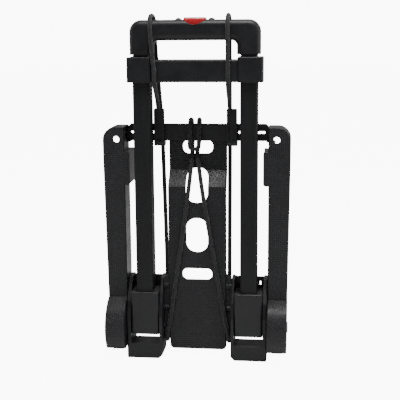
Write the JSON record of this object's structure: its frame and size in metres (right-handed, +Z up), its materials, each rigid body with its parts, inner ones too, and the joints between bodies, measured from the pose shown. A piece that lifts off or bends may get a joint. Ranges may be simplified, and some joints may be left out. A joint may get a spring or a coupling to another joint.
{
  "type": "folding luggage cart",
  "caption": "Folding luggage cart, folded upright: telescoping twin-tube handle, fold-down platform with wheels, red release button and elastic cord.",
  "frame": {"origin": "bottom centre of the folded cart, on the floor", "axes": "+Z up along the tubes, +Y from the user's side towards the folded platform's floor side, +X to the right seen from the user's side"},
  "size_m": [0.22, 0.0684, 0.4072],
  "materials": {
    "platform_plastic": "fine textured black",
    "frame_plastic": "satin black",
    "grip_plastic": "soft satin black",
    "tube_aluminium": "black anodised",
    "guide_plastic": "natural nylon",
    "steel": "zinc plated",
    "red_button": "gloss red",
    "tyre_rubber": "black rubber",
    "pad_rubber": "black rubber",
    "cord_elastic": "black braided sheath over rubber"
  },
  "bodies": {
    "mast": {"bridge_front": "frame_plastic", "bridge_rear": "frame_plastic", "bridge_screws": "steel", "left_outer_tube": "tube_aluminium", "right_outer_tube": "tube_aluminium", "left_socket": "frame_plastic", "right_socket": "frame_plastic", "socket_screws": "steel", "pivot_bushes": "guide_plastic", "tube_glides": "guide_plastic"},
    "platform": {"centre_plate": "platform_plastic", "front_rail": "platform_plastic", "left_wing": "platform_plastic", "right_wing": "platform_plastic", "left_bracket": "platform_plastic", "right_bracket": "platform_plastic", "axle_pins": "steel", "axle_caps": "frame_plastic", "support_pads": "pad_rubber", "rail_screws": "steel", "bracket_screws": "steel", "left_hook": "frame_plastic", "right_hook": "frame_plastic", "cord_hitch": "cord_elastic", "left_lower_cord": "cord_elastic", "right_lower_cord": "cord_elastic", "left_rear_cord": "cord_elastic", "right_rear_cord": "cord_elastic", "left_front_cord": "cord_elastic", "right_front_cord": "cord_elastic"},
    "middle_stage": {"left_middle_tube": "tube_aluminium", "right_middle_tube": "tube_aluminium", "middle_end_guides": "guide_plastic", "middle_collars": "frame_plastic", "middle_snap_buttons": "steel", "left_rear_stage_cord": "cord_elastic", "right_rear_stage_cord": "cord_elastic", "left_front_stage_cord": "cord_elastic", "right_front_stage_cord": "cord_elastic"},
    "handle": {"left_inner_tube": "tube_aluminium", "right_inner_tube": "tube_aluminium", "inner_end_guides": "guide_plastic", "inner_snap_buttons": "steel", "grip_front": "grip_plastic", "grip_rear": "grip_plastic", "grip_screws": "steel", "left_cord_loop": "cord_elastic", "right_cord_loop": "cord_elastic"},
    "release": {"button_cap": "red_button", "button_yoke": "guide_plastic", "push_rods": "steel", "button_spring": "steel"},
    "left_wheel": {"left_tyre": "tyre_rubber", "left_hub": "platform_plastic", "left_wheel_bush": "guide_plastic"},
    "right_wheel": {"right_tyre": "tyre_rubber", "right_hub": "platform_plastic", "right_wheel_bush": "guide_plastic"}
  },
  "joints": [
    {"name": "platform_fold", "type": "hinge", "parent": "mast", "child": "platform", "pos_m": [0, 0.00225, 0.038], "axis": [1, 0, 0], "range_deg": [-90, 0], "deforming": ["left_rear_cord", "right_rear_cord", "left_front_cord", "right_front_cord"]},
    {"name": "middle_slide", "type": "slide", "parent": "mast", "child": "middle_stage", "axis": [0, 0, 1], "range_m": [0, 0.235], "deforming": ["left_rear_stage_cord", "right_rear_stage_cord", "left_front_stage_cord", "right_front_stage_cord"]},
    {"name": "handle_slide", "type": "slide", "parent": "middle_stage", "child": "handle", "axis": [0, 0, 1], "range_m": [0, 0.235], "deforming": ["left_cord_loop", "right_cord_loop"]},
    {"name": "release_press", "type": "slide", "parent": "handle", "child": "release", "axis": [0, 0, -1], "range_m": [0, 0.003], "stiffness_N_per_m": 1500, "springref_m": -0.004, "deforming": ["button_spring"]},
    {"name": "left_wheel_spin", "type": "hinge", "parent": "platform", "child": "left_wheel", "pos_m": [-0.096, 0.00225, 0.038], "axis": [1, 0, 0], "continuous": true},
    {"name": "right_wheel_spin", "type": "hinge", "parent": "platform", "child": "right_wheel", "pos_m": [0.096, 0.00225, 0.038], "axis": [1, 0, 0], "continuous": true}
  ]
}
